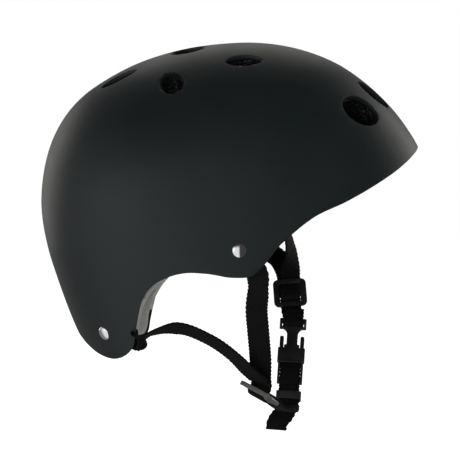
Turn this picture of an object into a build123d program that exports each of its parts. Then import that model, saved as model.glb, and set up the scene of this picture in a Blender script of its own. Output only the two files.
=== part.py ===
"""Skateboard helmet: a hard vented shell over a foam liner with fit pads, and a riveted chin harness
that closes with a side release buckle.

Millimetres and degrees. +X points to the brow, +Y to the wearer's left and +Z up, the way the straps
hang. The origin is the point of the crown pad that rests on the head. Shell, liner and pads are drawn
level, with heights from the dome's base level, and are then tipped back about the origin. The harness
is drawn in the tipped frame, because it hangs straight down.
"""

import math
import os

from build123d import *

# Shell. Reaches are measured from the dome's upright axis.
front_reach = 162.0
rear_reach = 118.0
half_width = 107.5
dome_height = 136.5
skirt_depth = 66.0
shell_wall = 3.0
tip_back = 17.0
section_power = 2.2
section_sides = 32
oval_sides = 28

# Liner and pads
fit_gap = 0.3
liner_front_wall = 27.0
liner_rear_wall = 20.0
liner_side_wall = 19.0
liner_top_wall = 22.0
liner_setback = 6.5
pad_thickness = 8.0
pad_corner = 12.0
pad_edge_taper = 25.0
crown_pad_length = 112.0
crown_pad_width = 78.0
brow_pad_width = 128.0
brow_pad_height = 32.0
brow_pad_lift = 34.0
side_pad_length = 74.0
side_pad_height = 30.0
side_pad_lift = 36.0
side_pad_forward = 12.0
nape_pad_front = 42.0
nape_pad_top = 6.0
nape_pad_rim_gap = 1.0

# Vents, each an oval that widens through a soft lip
vent_size = 30.0
vent_lip = 2.4
vent_lip_taper = 38.0
vent_liner_share = 0.9

# Harness anchors on the shell, from the dome's axis and its base level
front_rivet_forward = 17.2
front_rivet_drop = 14.4
rear_rivet_back = 91.3
rear_rivet_drop = 43.0
rivet_head_radius = 5.3
rivet_head_rise = 2.2
rivet_shank_radius = 2.0
rivet_tail_radius = 3.6
rivet_tail_thickness = 0.9
washer_radius = 6.0
washer_thickness = 1.0

# Webbing
strap_width = 15.0
strap_thickness = 1.4
strap_reach = 100.0
strap_step = 5.0
strap_wall_gap = 0.5
strap_channel_gap = 1.0

# Slides that gather the front and rear straps, from the head seat in the tipped frame
slide_length = 25.0
slide_height = 21.7
slide_thickness = 2.4
slide_corner = 4.0
slide_edge_radius = 0.7
slot_length = 16.4
slot_width = 4.6
slot_offset = 5.0
right_slide_forward = 65.0
right_slide_side = 62.0
right_slide_drop = 208.4
left_slide_forward = 85.5
left_slide_side = 60.0
left_slide_drop = 143.7

# Buckle. Its own frame has Y up its length from the socket's foot and Z out of its broad face.
buckle_forward = 85.0
buckle_side = 27.0
buckle_drop = 209.1
buckle_lean = 27.9
buckle_tilt = 3.4
socket_width = 20.4
socket_thickness = 7.0
socket_foot_thickness = 6.2
socket_height = 27.3
socket_foot_height = 17.2
socket_rail = 1.5
socket_corner = 1.4
socket_tongue_width = 11.6
socket_tongue_rise = 2.5
socket_lip = 1.5
ladder_bar_height = 12.0
foot_bar_height = 0.8
ladder_bar_depth = 3.0
ladder_bar_thickness = 2.4
ladder_bar_edge = 0.9
plug_thickness = 3.2
plug_height = 52.1
plug_bar_width = 20.2
plug_bar_depth = 8.0
plug_slot_width = 2.8
plug_bar_edge = 1.4
stem_width = 8.2
stem_root_width = 5.0
nose_width = 17.4
nose_depth = 1.6
prong_width = 2.5
prong_barb = 0.5
prong_tip = 10.2
prong_gap = 0.05
pocket_gap = 0.3

# Keeper loop for the strap's loose end
keeper_height = 6.0
keeper_wall = 1.2
keeper_drop = 10.5

overrun = 20.0
skirt_overrun = 2.0

crown_rise = shell_wall + fit_gap + liner_top_wall + fit_gap + pad_thickness
base_level = crown_rise - dome_height
shell_length = front_reach + rear_reach

# Sections of a dome, from the skirt's foot to the crown: height, front, rear and side shares
dome_shares = [
    (-1.3, 1.0, 0.893, 0.895),
    (-1.0, 1.0, 0.932, 0.93),
    (-0.5, 1.0, 0.981, 0.972),
    (0.0, 1.0, 1.0, 0.995),
    (0.22, 0.973, 1.0, 1.0),
    (0.44, 0.898, 0.958, 0.963),
    (0.66, 0.7685, 0.843, 0.848),
    (0.82, 0.599, 0.686, 0.675),
    (0.923, 0.407, 0.487, 0.476),
    (0.982, 0.185, 0.22, 0.253),
    (0.999, 0.03, 0.03, 0.03),
]

# The shell's lower edge from the side: shares of its length, and of the skirt's depth
rim_shares = [
    (0.6, 0.26),
    (0.557, 0.214),
    (0.506, 0.118),
    (0.425, 0.011),
    (0.346, -0.062),
    (0.261, -0.115),
    (0.195, -0.22),
    (0.15, -0.315),
    (0.112, -0.429),
    (0.071, -0.509),
    (0.029, -0.473),
    (-0.031, -0.352),
    (-0.086, -0.276),
    (-0.129, -0.271),
    (-0.168, -0.308),
    (-0.2, -0.4),
    (-0.225, -0.56),
    (-0.246, -0.727),
    (-0.264, -0.871),
    (-0.288, -0.935),
    (-0.319, -0.948),
    (-0.356, -0.873),
    (-0.382, -0.758),
    (-0.407, -0.59),
    (-0.443, -0.333),
]

# Vents of one side: bearing from straight ahead and height, in degrees at the dome's centre, then
# length and width shares of the vent size
vent_shares = {
    "front_inner": (11.0, 24.0, 1.0, 0.68),
    "front_side": (25.6, 21.1, 1.03, 0.82),
    "top_inner": (53.0, 74.8, 0.82, 0.78),
    "top_side": (46.6, 53.0, 0.82, 0.44),
    "rear_side": (85.6, 56.5, 0.53, 0.8),
    "rear_inner": (126.0, 67.5, 0.93, 0.4),
}

# Free stretches of the straps: place from their slide as shares of the strap reach, and the
# direction of the webbing's width
right_front_shares = [
    ((-0.02, -0.35, 0.74), (1, -0.1, 0.2)),
    ((-0.02, -0.25, 0.49), (1, 0, 0)),
    ((-0.002, -0.14, 0.24), (1, -0.05, 0)),
    ((0.0, -0.075, 0.12), (0.95, -0.25, -0.15)),
]
right_rear_shares = [
    ((-0.82, -0.23, 0.396), (0.1, -0.5, 0.85)),
    ((-0.765, -0.237, 0.424), (0.1, -0.93, 0.3)),
    ((-0.68, -0.24, 0.456), (0.1, -0.88, 0.42)),
    ((-0.59, -0.24, 0.469), (0.05, -0.82, 0.57)),
    ((-0.372, -0.21, 0.397), (0.25, -0.83, 0.47)),
    ((-0.2, -0.165, 0.278), (0.35, -0.83, 0.42)),
    ((-0.08, -0.147, 0.16), (0.7, -0.65, 0.1)),
    ((-0.02, -0.112, 0.1), (0.93, -0.32, -0.2)),
]
left_front_shares = [
    ((-0.116, 0.34, 0.28), (0.6, 0.15, 0.75)),
    ((-0.046, 0.2, 0.182), (0.96, 0.08, 0.1)),
]
left_rear_shares = [
    ((-0.771, 0.28, 0.256), (-0.2, 0.35, 0.9)),
    ((-0.575, 0.19, 0.373), (-0.1, 0.85, 0.5)),
    ((-0.344, 0.14, 0.474), (0.05, 0.97, 0.2)),
    ((-0.153, 0.12, 0.505), (0.1, 1, 0)),
    ((-0.034, 0.12, 0.46), (0.3, 0.95, 0.1)),
    ((0.0, 0.12, 0.361), (0.42, 0.9, 0.1)),
    ((0.01, 0.12, 0.262), (0.65, 0.75, 0.05)),
    ((0.004, 0.105, 0.171), (0.95, 0.3, 0.0)),
]
# The chin run and the loose end, from the buckle's foot
chin_shares = [
    ((-0.108, -0.67, -0.084), (0.88, -0.35, -0.25)),
    ((-0.037, -0.45, -0.154), (0.95, -0.25, -0.12)),
    ((-0.008, -0.25, -0.174), (0.99, -0.1, -0.05)),
    ((-0.004, -0.145, -0.155), (1, 0, 0)),
]
tail_shares = [
    ((-0.014, -0.065, -0.164), (1, 0, 0)),
    ((-0.045, -0.085, -0.22), (1, 0, 0)),
    ((-0.082, -0.1, -0.275), (1, 0, 0.05)),
    ((-0.1, -0.105, -0.33), (1, 0, 0)),
]

# Stretches of the straps inside the shell, from their rivet: shares of the strap's width
front_wall_shares = {-1: [(-0.2, 0.55), (0.0, 0.0), (0.25, -0.65), (0.45, -1.2)],
                     1: [(-0.5, 0.36), (0.0, 0.0), (0.5, -0.36), (0.95, -0.68)]}
rear_wall_shares = {-1: [(-0.55, 0.2), (0.0, 0.0), (0.75, -0.36), (1.4, -0.72)],
                    1: [(-0.5, -0.2), (0.0, 0.0), (1.1, 0.62), (2.1, 1.3), (2.6, 1.7)]}


def evenly(inset):
    """The same inset at the front, rear, sides and top of a dome."""
    return (inset, inset, inset, inset)


def deeper(insets, *walls):
    """Insets moved inwards by a wall for each, or by one wall for all."""
    walls = walls * len(insets) if len(walls) == 1 else walls
    return tuple(inset + wall for inset, wall in zip(insets, walls))


shell_inside = evenly(shell_wall)
liner_outside = deeper(shell_inside, fit_gap)
liner_inside = deeper(liner_outside, liner_front_wall, liner_rear_wall, liner_side_wall, liner_top_wall)
pad_outside = deeper(liner_inside, fit_gap)
pad_inside = deeper(pad_outside, pad_thickness)
strap_line = deeper(shell_inside, strap_wall_gap + strap_thickness / 2)


def halfway(rows):
    """The rows with one more between each two, on a smooth curve through them."""
    filled = []
    for index in range(len(rows) - 1):
        around = [rows[min(max(index + step, 0), len(rows) - 1)] for step in (-1, 0, 1, 2)]
        filled.append(rows[index])
        filled.append(tuple((9 * (b + c) - (a + d)) / 16 for a, b, c, d in zip(*around)))
    return filled + [rows[-1]]


def ring(insets, row, longer):
    """Corners of one level section of a dome."""
    front_inset, rear_inset, side_inset, top_inset = insets
    height_share, front_share, rear_share, side_share = row
    height = height_share * (skirt_depth if height_share < 0 else dome_height - top_inset)
    if row == dome_shares[0]:
        height -= longer
    corners = []
    for index in range(section_sides):
        angle = math.tau * index / section_sides
        ahead = math.cos(angle)
        aside = math.sin(angle)
        if ahead > 0:
            reach = front_share * (front_reach - front_inset)
        else:
            reach = rear_share * (rear_reach - rear_inset)
        x = math.copysign(abs(ahead) ** (2 / section_power), ahead) * reach
        y = math.copysign(abs(aside) ** (2 / section_power), aside)
        corners.append(Vector(x, y * side_share * (half_width - side_inset), base_level + height))
    return corners


def dome(insets, longer=0.0):
    """Solid dome of flat facets whose surface stands inside the shell's outer face by the four insets."""
    return faceted([ring(insets, row, longer) for row in halfway(dome_shares)])


def faceted(rings):
    """Solid of flat facets through rings of corners, closed by the first and the last ring.

    The diagonals of the ring's two halves run opposite ways, so that faces across from each other
    twist alike.
    """
    facets = [rings[0][::-1], rings[-1]]
    for low, high in zip(rings, rings[1:]):
        for index in range(len(low)):
            after = (index + 1) % len(low)
            if index < len(low) / 2:
                facets.append((low[index], low[after], high[after]))
                facets.append((low[index], high[after], high[index]))
            else:
                facets.append((low[index], low[after], high[index]))
                facets.append((low[after], high[after], high[index]))
    return Solid(Shell([Face(Wire.make_polygon(corners, close=True)) for corners in facets]))


def above_rim(lift):
    """Everything above the shell's lower edge, raised by the lift."""
    rim = [(x * shell_length, base_level + z * skirt_depth + lift) for x, z in halfway(rim_shares)]
    top = crown_rise + overrun
    front = rim[0][0] + overrun
    rear = rim[-1][0] - overrun
    corners = [(rear, rim[-1][1]), (rear, top), (front, top), (front, rim[0][1]), rim[0]]
    profile = Plane.XZ * make_face(Polyline(*rim, *corners))
    return extrude(profile, half_width + overrun, both=True)


def vent_planes(outer):
    """Plane on the shell at each vent, with its outline's length and width."""
    centre = Vector(0, 0, base_level)
    found = []
    for bearing, height, length_share, width_share in vent_shares.values():
        for side in (-1, 1):
            flat = math.cos(math.radians(height))
            direction = Vector(
                flat * math.cos(math.radians(bearing)),
                side * flat * math.sin(math.radians(bearing)),
                math.sin(math.radians(height)),
            )
            hits = outer.find_intersection_points(Axis(centre, direction))
            point, normal = max(hits, key=lambda hit: (hit[0] - centre).dot(direction))
            found.append((seat_plane(point, normal), length_share * vent_size, width_share * vent_size))
    return found


def seat_plane(point, normal):
    """Plane that lies on a surface, with its X as near to straight ahead as the surface lets it."""
    ahead = Vector(1, 0, 0)
    along = ahead - normal * ahead.dot(normal)
    return Plane(origin=point, x_dir=along, z_dir=normal)


def oval(length, width):
    """Oval face with flat sides."""
    angles = [math.tau * index / oval_sides for index in range(oval_sides)]
    corners = [(math.cos(angle) * length / 2, math.sin(angle) * width / 2) for angle in angles]
    return make_face(Polyline(*corners, corners[0]))


def vent_cutters(outer):
    """Oval hole with a widening lip for each vent."""
    narrower = 2 * fit_gap * math.tan(math.radians(vent_lip_taper))
    cutters = []
    for plane, length, width in vent_planes(outer):
        cutters.append(extrude(plane * oval(length, width), overrun, both=True))
        mouth = plane.offset(-vent_lip - fit_gap) * oval(length - narrower, width - narrower)
        cutters.append(extrude(mouth, vent_lip + fit_gap + shell_wall, taper=-vent_lip_taper))
    return cutters


def liner_vent_cutters(outer):
    """Narrower oval hole through the liner below each vent."""
    depth = liner_front_wall + overrun
    cutters = []
    for plane, length, width in vent_planes(outer):
        hole = oval(length * vent_liner_share, width * vent_liner_share)
        cutters.append(extrude(plane.offset(-depth) * hole, depth + overrun))
    return cutters


def wall_hit(surface, x, z, side):
    """Point and outward normal where a sideways line meets a dome, on the right (-1) or left (1)."""
    across = Vector(0, side, 0)
    start = Vector(x, 0, z)
    hits = surface.find_intersection_points(Axis(start, across))
    return max(hits, key=lambda hit: (hit[0] - start).dot(across))


def rivet_place(which, side):
    """Rivet's place on the side view, in the level frame."""
    if which == "front":
        return front_rivet_forward, base_level - front_rivet_drop
    return -rear_rivet_back, base_level - rear_rivet_drop


def rivet_plane(outer, which, side):
    """Plane on the shell at a rivet, Z outwards."""
    x, z = rivet_place(which, side)
    point, normal = wall_hit(outer, x, z, side)
    return seat_plane(point, normal)


def rivet(plane):
    """Raised head outside, shank through shell and webbing, and a flattened tail inside."""
    from_face = (Align.CENTER, Align.CENTER, Align.MIN)
    flat_radius = rivet_head_radius - rivet_head_rise
    head = Cone(rivet_head_radius, flat_radius, rivet_head_rise, align=from_face)
    stack = shell_wall + strap_wall_gap + strap_thickness + fit_gap + washer_thickness + fit_gap
    shank = Cylinder(rivet_shank_radius, stack + fit_gap, align=(Align.CENTER, Align.CENTER, Align.MAX))
    tail = Cylinder(rivet_tail_radius, rivet_tail_thickness, align=(Align.CENTER, Align.CENTER, Align.MAX))
    tail = tail.moved(Location((0, 0, -stack)))
    return plane * (head + shank.moved(Location((0, 0, fit_gap))) + tail)


def washer(plane):
    """Ring between the webbing and the rivet's tail."""
    depth = shell_wall + strap_wall_gap + strap_thickness + fit_gap
    ring = Circle(washer_radius) - Circle(rivet_shank_radius + fit_gap / 2)
    return extrude(plane.offset(-depth) * ring, -washer_thickness)


def smooth_route(route):
    """Rows of point and width direction, filled in along a smooth curve through the given ones."""
    filled = []
    for index in range(len(route) - 1):
        before = route[max(index - 1, 0)]
        start, end = route[index], route[index + 1]
        after = route[min(index + 2, len(route) - 1)]
        span = (end[0] - start[0]).length
        count = max(1, round(span / strap_step))
        for step in range(count):
            filled.append(route_point(before, start, end, after, step / count))
    filled.append(route[-1])
    return filled


def route_point(before, start, end, after, share):
    """One point of a curve whose tangent at each given point is fitted to its two spans."""
    span = (end[0] - start[0]).length
    leave = span_tangent(before[0], start[0], end[0]) * span
    arrive = span_tangent(start[0], end[0], after[0]) * span
    square, cube = share**2, share**3
    point = (
        start[0] * (2 * cube - 3 * square + 1)
        + leave * (cube - 2 * square + share)
        + end[0] * (3 * square - 2 * cube)
        + arrive * (cube - square)
    )
    return point, start[1] * (1 - share) + end[1] * share


def span_tangent(before, here, after):
    """Direction of a curve at a point, the shorter neighbouring span counting for more."""
    first, second = here - before, after - here
    if first.length == 0 or second.length == 0:
        return (first + second).normalized()
    blend = first.normalized() / first.length + second.normalized() / second.length
    return blend.normalized()


def webbing(rows, width, thickness):
    """Flat strap through rows of point and width direction."""
    rings = []
    for index, (point, across) in enumerate(rows):
        before = rows[max(index - 1, 0)][0]
        after = rows[min(index + 1, len(rows) - 1)][0]
        along = (after - before).normalized()
        side = (across - along * across.dot(along)).normalized()
        out = along.cross(side) * (thickness / 2)
        side *= width / 2
        rings.append([point + side + out, point - side + out, point - side - out, point + side - out])
    return faceted(rings)


def tip(shape):
    """Level frame to tipped frame."""
    return shape.rotate(Axis.Y, -tip_back)


def wall_route(surface, which, side):
    """Rows of a strap's stretch inside the shell, from its riveted end to where it leaves."""
    shares = (front_wall_shares if which == "front" else rear_wall_shares)[side]
    x, z = rivet_place(which, side)
    hits = [wall_hit(surface, x + a * strap_width, z + b * strap_width, side) for a, b in shares]
    rows = []
    for index, (point, normal) in enumerate(hits):
        along = hits[min(index + 1, len(hits) - 1)][0] - hits[max(index - 1, 0)][0]
        rows.append((tip(point), tip(along.cross(normal * side).normalized())))
    return rows


def free_route(start, shares):
    """Rows of a strap's free stretch, from the place its shares are measured from."""
    return [(start + Vector(*place) * strap_reach, Vector(*across).normalized()) for place, across in shares]


def slide_plane(side):
    """Plane of a slide: X along its slots, Y the way the webbing travels, Z the side it comes from."""
    if side < 0:
        origin = Vector(right_slide_forward, -right_slide_side, -right_slide_drop)
        slots, travel = Vector(0.8, -0.45, -0.4), Vector(0.38, 0.86, -0.32)
    else:
        origin = Vector(left_slide_forward, left_slide_side, -left_slide_drop)
        slots, travel = Vector(0.995, 0, 0.08), Vector(0.1, -0.42, -0.9)
    return Plane(origin=origin, x_dir=slots, z_dir=slots.cross(travel))


def in_plane(plane, rows):
    """Rows given by height and offset in a plane, with the webbing's width along the plane's X."""
    return [(plane.from_local_coords(Vector(0, y, z)), plane.x_dir) for y, z in rows]


strap_pitch = strap_thickness + fit_gap
web_level = slide_thickness / 2 + fit_gap + strap_thickness / 2
bend = slide_edge_radius + fit_gap + strap_thickness / 2
bend_centre = slide_thickness / 2 - slide_edge_radius
bar_edge = slot_offset - slot_width / 2 - slide_edge_radius
half_bend = math.sqrt(0.5)


def slide_entry(plane, layer):
    """Webbing down through a slide's first slot and under its middle bar; layer 0 lies on the bar."""
    slot = -slot_offset + (1 / 2 - layer) * strap_pitch
    under = -web_level - layer * strap_pitch
    turn = (-bar_edge + (slot + bar_edge) * half_bend, -bend_centre + (under + bend_centre) * half_bend)
    above = 2 * web_level - layer * strap_pitch
    return in_plane(plane, [(slot, above), (slot, 0), turn, (-bar_edge, under), (bar_edge, under)])


def slide_exit(plane):
    """Webbing up through a slide's second slot and over its outer bar."""
    far_edge = 2 * slot_offset - bar_edge
    rise = bend_centre + bend * half_bend
    return in_plane(
        plane,
        [
            (bar_edge + bend * half_bend, -rise),
            (slot_offset, 0),
            (far_edge - bend * half_bend, rise),
            (far_edge, web_level),
            (slide_height / 2 + strap_thickness, web_level),
        ],
    )


def slide(plane):
    """Three bar slide with two slots."""
    plate = RectangleRounded(slide_length, slide_height, slide_corner)
    for side in (-1, 1):
        plate -= Pos(0, side * slot_offset) * Rectangle(slot_length, slot_width)
    body = extrude(plate, slide_thickness / 2, both=True)
    rims = body.edges().filter_by(GeomType.LINE).filter_by(Axis.X).sort_by(Axis.Z)
    body = chamfer(rims, slide_edge_radius)
    return plane * body


def buckle_plane():
    """Plane of the buckle at the foot of its socket."""
    lean = math.radians(buckle_lean)
    origin = Vector(buckle_forward, buckle_side, -buckle_drop)
    face = Vector(0, -math.cos(lean), math.sin(lean))
    return Plane(origin=origin, x_dir=Vector(1, 0, 0).rotate(Axis((0, 0, 0), face), -buckle_tilt), z_dir=face)


def block(width, low, high, thickness, corner=0.0):
    """Slab of the buckle between two heights, with its four long edges rounded if asked."""
    body = Pos(0, (low + high) / 2) * Box(width, high - low, thickness)
    if corner:
        body = fillet(body.edges().filter_by(Axis.Y), corner)
    return body


prong_outer = nose_width / 2
prong_inner = prong_outer - prong_width
prong_root = socket_foot_height + 2 * pocket_gap + nose_depth + prong_width / 2 + prong_gap
bar_width = socket_width - 2 * socket_rail


def buckle_socket(plane):
    """Housing with a pocket for the plug, and an open ladder frame for the webbing."""
    housing = block(socket_width, socket_foot_height, socket_height, socket_thickness, socket_corner)
    tongue_top = socket_height + socket_tongue_rise
    housing += block(socket_tongue_width, socket_foot_height, tongue_top, socket_thickness, socket_corner)
    pocket_height = plug_thickness + 2 * pocket_gap
    pocket_floor = socket_foot_height + pocket_gap
    lip_foot = socket_height - socket_lip
    housing -= block(nose_width + 2 * pocket_gap, pocket_floor, lip_foot, pocket_height)
    mouth_width = nose_width - 2 * prong_barb + 2 * pocket_gap
    housing -= block(mouth_width, pocket_floor, tongue_top + overrun, pocket_height)
    foot_width = socket_width - socket_rail
    frame = block(foot_width, 0, socket_foot_height + pocket_gap, socket_foot_thickness, socket_corner)
    frame -= block(strap_width + 2 * fit_gap, -overrun, socket_foot_height, socket_foot_thickness * 2)
    bar = block(bar_width, 0, ladder_bar_depth, ladder_bar_thickness)
    bar = fillet(bar.edges().filter_by(Axis.X), ladder_bar_edge)
    ladder = bar.moved(Location((0, ladder_bar_height, 0)))
    foot = bar.moved(Location((0, foot_bar_height, 0)))
    return plane * (housing + frame + ladder + foot)


def buckle_plug(plane):
    """Webbing bar, stem and cross nose."""
    bar = block(plug_bar_width, plug_height - plug_bar_depth, plug_height, plug_thickness, plug_bar_edge)
    slot_foot = plug_height - plug_bar_depth + plug_bar_edge
    slot_top = slot_foot + plug_slot_width
    bar -= block(slot_length, slot_foot, slot_top, plug_thickness * 2)
    turned = bar.edges().filter_by(Axis.X).filter_by_position(Axis.Y, slot_top - fit_gap, slot_top + fit_gap)
    bar = fillet(turned, plug_bar_edge)
    nose_foot = socket_foot_height + 2 * pocket_gap
    nose = block(nose_width - 2 * prong_barb, nose_foot, nose_foot + nose_depth, plug_thickness)
    neck = [
        (stem_root_width / 2, nose_foot),
        (stem_root_width / 2, prong_root + prong_width),
        (stem_width / 2, socket_height),
        (stem_width / 2, plug_height - plug_bar_depth - stem_root_width),
        (plug_bar_width / 2 - plug_bar_edge, plug_height - plug_bar_depth + plug_bar_edge / 2),
    ]
    half = Polyline(*neck[:4]) + Spline(*neck[3:], tangents=[(0, 1), (1, 0.4)])
    outline = half + Line(neck[4], (0, neck[4][1])) + Line((0, neck[4][1]), (0, nose_foot))
    outline += Line((0, nose_foot), neck[0])
    side = make_face(outline)
    stem = extrude(side + mirror(side, about=Plane.YZ), plug_thickness / 2, both=True)
    return plane * (bar + nose + stem)


def buckle_prong(plane, side):
    """Barbed arm that latches under the socket's lip and ends in a squeeze tab."""
    shoulder = socket_height - socket_lip - pocket_gap
    tip_height = socket_height + prong_tip
    outer = prong_outer
    waist = prong_outer - prong_barb - pocket_gap / 2
    tab_outer = prong_outer + prong_barb
    tab_radius = (tab_outer - prong_inner) / 2
    arm = Polyline(
        (prong_inner, prong_root),
        (prong_inner, tip_height - tab_radius),
        (tab_outer, tip_height - tab_radius),
        (tab_outer, socket_height + prong_width),
        (waist, socket_height + pocket_gap),
        (waist, shoulder),
        (outer, shoulder),
        (outer, prong_root),
        (prong_inner, prong_root),
    )
    root = Pos((prong_inner + outer) / 2, prong_root) * Circle(prong_width / 2)
    tab = Pos(prong_inner + tab_radius, tip_height - tab_radius) * Circle(tab_radius)
    body = extrude(make_face(arm) + root + tab, plug_thickness / 2, both=True)
    if side < 0:
        body = mirror(body, about=Plane.YZ)
    return plane * body


def strap_keeper(plane):
    """Flat loop round the chin strap and its loose end."""
    inner_width = strap_width + 4 * fit_gap
    inner_height = 2 * strap_pitch + 4 * fit_gap
    outer = RectangleRounded(inner_width + 2 * keeper_wall, inner_height + 2 * keeper_wall, keeper_wall)
    ring = outer - Rectangle(inner_width, inner_height)
    place = plane * Location((0, -keeper_drop, 0), (90, 0, 0))
    return extrude(place * ring, keeper_height / 2, both=True)


def chin_loop(plane):
    """Webbing up the socket's face, over its ladder bar and down its back."""
    level = ladder_bar_thickness / 2 + fit_gap + strap_thickness / 2
    top = ladder_bar_height + ladder_bar_depth + fit_gap + strap_thickness / 2
    turn = top - level
    diagonal = level * math.sqrt(0.5)
    half_pitch = strap_pitch / 2
    front = [(-keeper_drop - keeper_height, half_pitch), (-keeper_drop + keeper_height / 2, half_pitch)]
    front += [(foot_bar_height, level), (turn, level), (turn + diagonal, diagonal)]
    back = [(y, -z) for y, z in reversed(front)]
    return in_plane(plane, front + [(top, 0)] + back[:-1])


def plug_loop(plane):
    """Webbing down the plug's back, round its bar and back up its face."""
    level = plug_thickness / 2 + fit_gap + strap_thickness / 2
    slot_top = plug_height - plug_bar_depth + plug_bar_edge + plug_slot_width
    low = slot_top - fit_gap - strap_thickness / 2
    turn = low + level
    diagonal = level * math.sqrt(0.5)
    down = [(plug_height + fit_gap, -level), (turn, -level), (turn - diagonal, -diagonal)]
    up = [(y, -z) for y, z in reversed(down)]
    return in_plane(plane, down + [(low, 0)] + up + [(plug_height + strap_width / 2, level)])


def make_harness(outer):
    """Straps with their slides, buckle and keeper, and the straps' routes for the liner's channels."""
    surface = dome(strap_line)
    buckle = buckle_plane()
    right, left = slide_plane(-1), slide_plane(1)
    foot = buckle.origin
    routes = {
        "right_front_strap": wall_route(surface, "front", -1)
        + free_route(right.origin, right_front_shares)
        + slide_entry(right, 0)
        + slide_exit(right)
        + free_route(foot, chin_shares)
        + chin_loop(buckle)
        + free_route(foot, tail_shares),
        "right_rear_strap": wall_route(surface, "rear", -1)
        + free_route(right.origin, right_rear_shares)
        + slide_entry(right, 1),
        "left_front_strap": wall_route(surface, "front", 1)
        + free_route(left.origin, left_front_shares)
        + slide_entry(left, 0)
        + slide_exit(left)
        + plug_loop(buckle),
        "left_rear_strap": wall_route(surface, "rear", 1)
        + free_route(left.origin, left_rear_shares)
        + slide_entry(left, 1),
    }
    parts = {}
    for name, route in routes.items():
        parts[name] = webbing(smooth_route(route), strap_width, strap_thickness)
    for side, name in ((-1, "right"), (1, "left")):
        for which in ("front", "rear"):
            plane = rivet_plane(outer, which, side)
            hole = plane * Cylinder(rivet_shank_radius + fit_gap, overrun)
            strap = f"{name}_{which}_strap"
            parts[strap] = parts[strap] - tip(hole)
            parts[f"{name}_{which}_rivet"] = tip(rivet(plane))
            parts[f"{name}_{which}_washer"] = tip(washer(plane))
    parts["right_slide"] = slide(right)
    parts["left_slide"] = slide(left)
    parts["buckle_socket"] = buckle_socket(buckle)
    parts["buckle_plug"] = buckle_plug(buckle)
    parts["front_prong"] = buckle_prong(buckle, 1)
    parts["rear_prong"] = buckle_prong(buckle, -1)
    parts["strap_keeper"] = strap_keeper(buckle)
    return parts, routes


def strap_channels(routes):
    """Room in the liner for the straps and the rivets' tails, in the level frame."""
    width = strap_width + 2 * strap_channel_gap
    thickness = strap_thickness + 2 * strap_channel_gap + 2 * fit_gap
    wall_rows = {"front": len(front_wall_shares[1]), "rear": len(rear_wall_shares[1])}
    cutters = []
    for name, route in routes.items():
        which = "front" if "front" in name else "rear"
        rows = smooth_route(route[: wall_rows[which] + 4])
        (end, across), following = rows[0], rows[1][0]
        rows[0] = (end + (end - following).normalized() * strap_channel_gap, across)
        cutters.append(webbing(rows, width, thickness).rotate(Axis.Y, tip_back))
    return cutters


def rivet_pockets(outer):
    """Round pockets in the liner for the washers and tails."""
    depth = overrun / 2
    return [
        rivet_plane(outer, which, side).offset(-depth)
        * Cylinder(washer_radius + strap_channel_gap, depth, align=(Align.CENTER, Align.CENTER, Align.MIN))
        for side in (-1, 1)
        for which in ("front", "rear")
    ]


def outer_shell(outer):
    """Moulded shell with its vents, rim and rivet holes."""
    body = outer - dome(shell_inside, skirt_overrun)
    body &= above_rim(0)
    cutters = vent_cutters(outer)
    for side in (-1, 1):
        for which in ("front", "rear"):
            cutters.append(rivet_plane(outer, which, side) * Cylinder(rivet_shank_radius + fit_gap / 2, overrun))
    return body - cutters


def foam_liner(outer, routes):
    """Crushable liner with the vents carried through and channels for the straps."""
    body = dome(liner_outside) - dome(liner_inside, skirt_overrun)
    body &= above_rim(liner_setback)
    return body - (liner_vent_cutters(outer) + strap_channels(routes) + rivet_pockets(outer))


def pad_layer():
    """The space that pads fill inside the liner."""
    return dome(pad_outside) - dome(pad_inside, skirt_overrun)


def pads(routes):
    """Fit pads of the crown, brow, sides and nape."""
    layer = pad_layer()
    crown = Plane.XY * RectangleRounded(crown_pad_length, crown_pad_width, crown_pad_width / 3)
    brow = Plane.YZ * Pos(0, base_level + brow_pad_lift)
    brow *= RectangleRounded(brow_pad_width, brow_pad_height, pad_corner)
    side = Plane.XZ * Pos(side_pad_forward, base_level + side_pad_lift)
    side *= RectangleRounded(side_pad_length, side_pad_height, pad_corner)
    found = {
        "crown_pad": layer & extrude(crown, crown_rise + overrun),
        "brow_pad": layer & extrude(brow, front_reach),
        "right_side_pad": layer & extrude(side, half_width),
        "left_side_pad": layer & extrude(side, -half_width),
    }
    # A channel leaves a loose sliver beside the shell, which the pad does without
    nape = nape_pad(layer) - strap_channels(routes)
    found["nape_pad"] = max(nape.solids(), key=lambda solid: solid.volume)
    return found


def nape_pad(layer):
    """Pad that lines the nape and rolls out over the liner's edge to the shell."""
    top = base_level + nape_pad_top
    tall = skirt_depth + nape_pad_top
    space = Pos(-nape_pad_front, 0, top) * Box(
        rear_reach, 2 * half_width, tall, align=(Align.MAX, Align.CENTER, Align.MAX)
    )
    roll = dome(liner_outside) - dome(pad_inside, skirt_overrun)
    roll &= above_rim(nape_pad_rim_gap)
    roll -= above_rim(liner_setback - fit_gap)
    body = (layer & above_rim(nape_pad_rim_gap)) + roll
    return body & space


def main():
    """Build every piece and write it to its own file."""
    outer = dome(evenly(0.0))
    harness, routes = make_harness(outer)
    parts = {"outer_shell": tip(outer_shell(outer)), "foam_liner": tip(foam_liner(outer, routes))}
    parts.update({name: tip(pad) for name, pad in pads(routes).items()})
    parts.update(harness)
    os.makedirs("parts", exist_ok=True)
    for name, part in parts.items():
        part.label = name
        export_step(part, f"parts/{name}.step")


main()
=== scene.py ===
import math

import bmesh
import bpy
from mathutils import Matrix, Vector


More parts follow.
